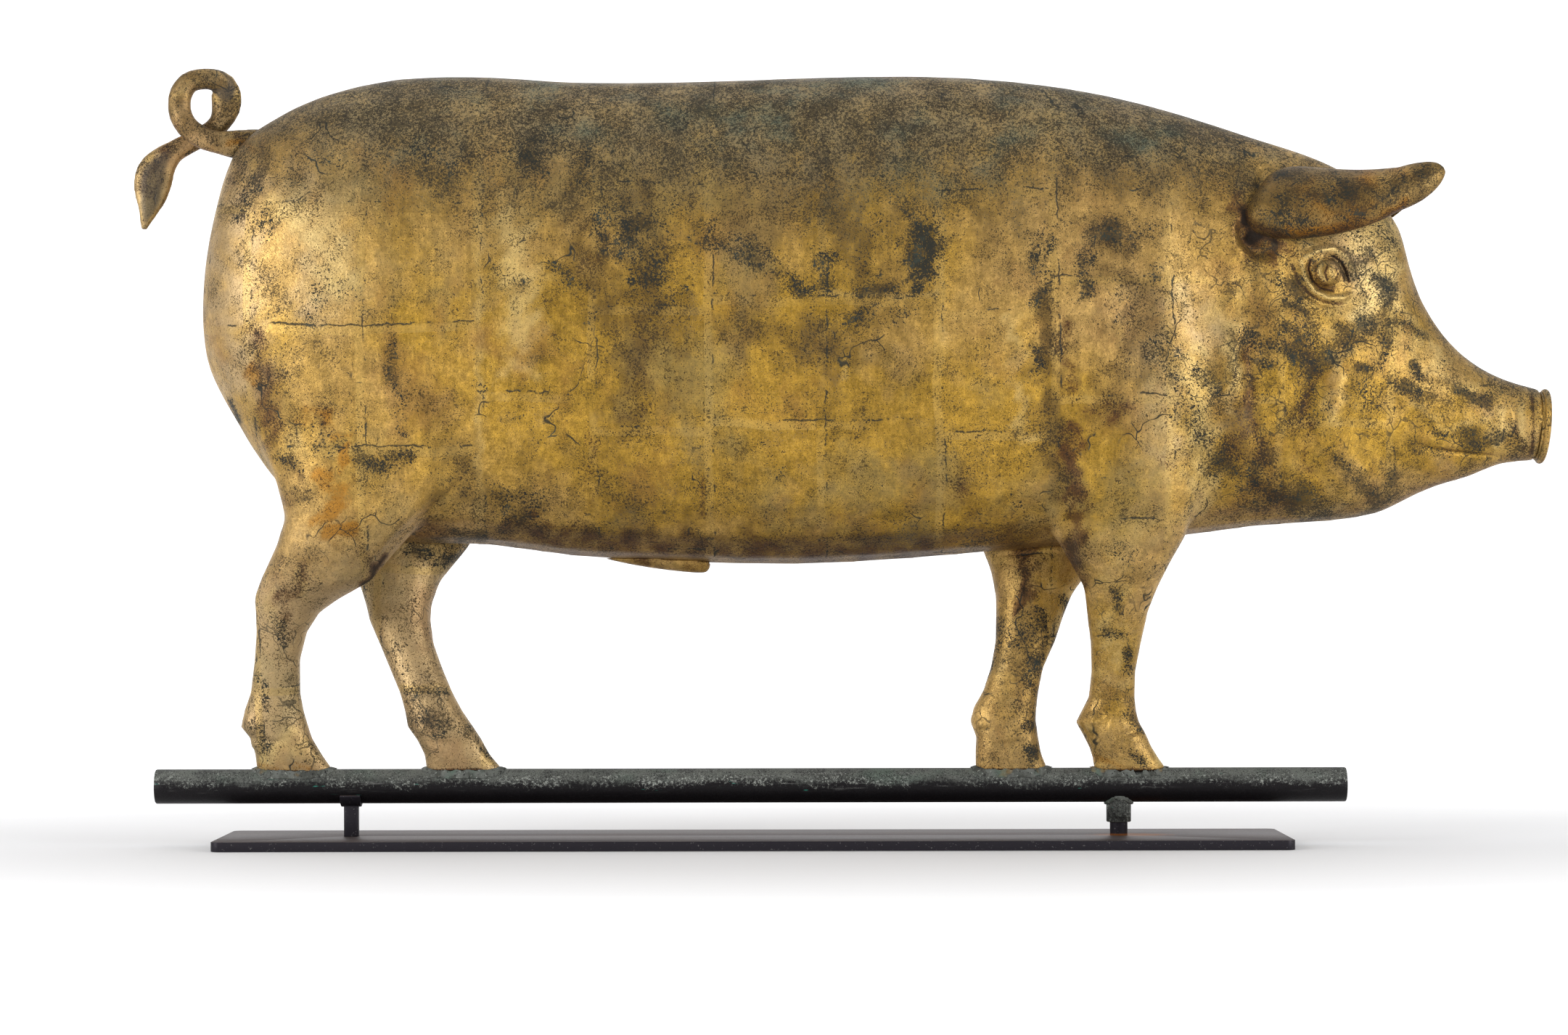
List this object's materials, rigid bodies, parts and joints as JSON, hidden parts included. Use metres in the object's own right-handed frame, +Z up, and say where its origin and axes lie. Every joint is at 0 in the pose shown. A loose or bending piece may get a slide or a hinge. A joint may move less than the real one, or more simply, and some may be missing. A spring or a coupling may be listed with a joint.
{
  "type": "pig weathervane",
  "caption": "Full-bodied pig weathervane of gilded sheet copper, standing on a tube that turns on a spindle in a flat steel stand.",
  "frame": {"origin": "on the spindle's axis, at the underside of the base plate", "axes": "+X towards the pig's snout, +Z up along the spindle, -Y towards the near side that the picture shows"},
  "size_m": [0.9633, 0.1682, 0.5291],
  "materials": {
    "gilded_copper": "worn gold leaf over copper, satin, with dark weathering",
    "weathered_tube": "dark grey-green verdigris, matt",
    "solder": "dull grey-green, matt",
    "blackened_steel": "blackened, satin",
    "bare_steel": "turned"
  },
  "bodies": {
    "stand": {"base_plate": "blackened_steel", "spindle": "blackened_steel", "rear_post": "blackened_steel", "cradle": "blackened_steel", "stand_screws": "bare_steel"},
    "bearing": {"bearing_cup": "bare_steel"},
    "vane": {"body_near": "gilded_copper", "body_far": "gilded_copper", "ear_near": "gilded_copper", "ear_far": "gilded_copper", "snout_disc": "gilded_copper", "tail": "gilded_copper", "sheath": "gilded_copper", "near_hind_leg_outer": "gilded_copper", "near_hind_leg_inner": "gilded_copper", "far_hind_leg_outer": "gilded_copper", "far_hind_leg_inner": "gilded_copper", "near_fore_leg_outer": "gilded_copper", "near_fore_leg_inner": "gilded_copper", "far_fore_leg_outer": "gilded_copper", "far_fore_leg_inner": "gilded_copper", "hoof_solder": "solder", "carrier_tube": "weathered_tube", "socket_sleeve": "weathered_tube", "socket_solder": "solder"}
  },
  "joints": [
    {"name": "vane_lift", "type": "slide", "parent": "stand", "child": "bearing", "axis": [0, 0, 1], "range_m": [0, 0.08]},
    {"name": "vane_spin", "type": "hinge", "parent": "bearing", "child": "vane", "pos_m": [0, 0, 0.05], "axis": [0, 0, 1], "continuous": true}
  ]
}
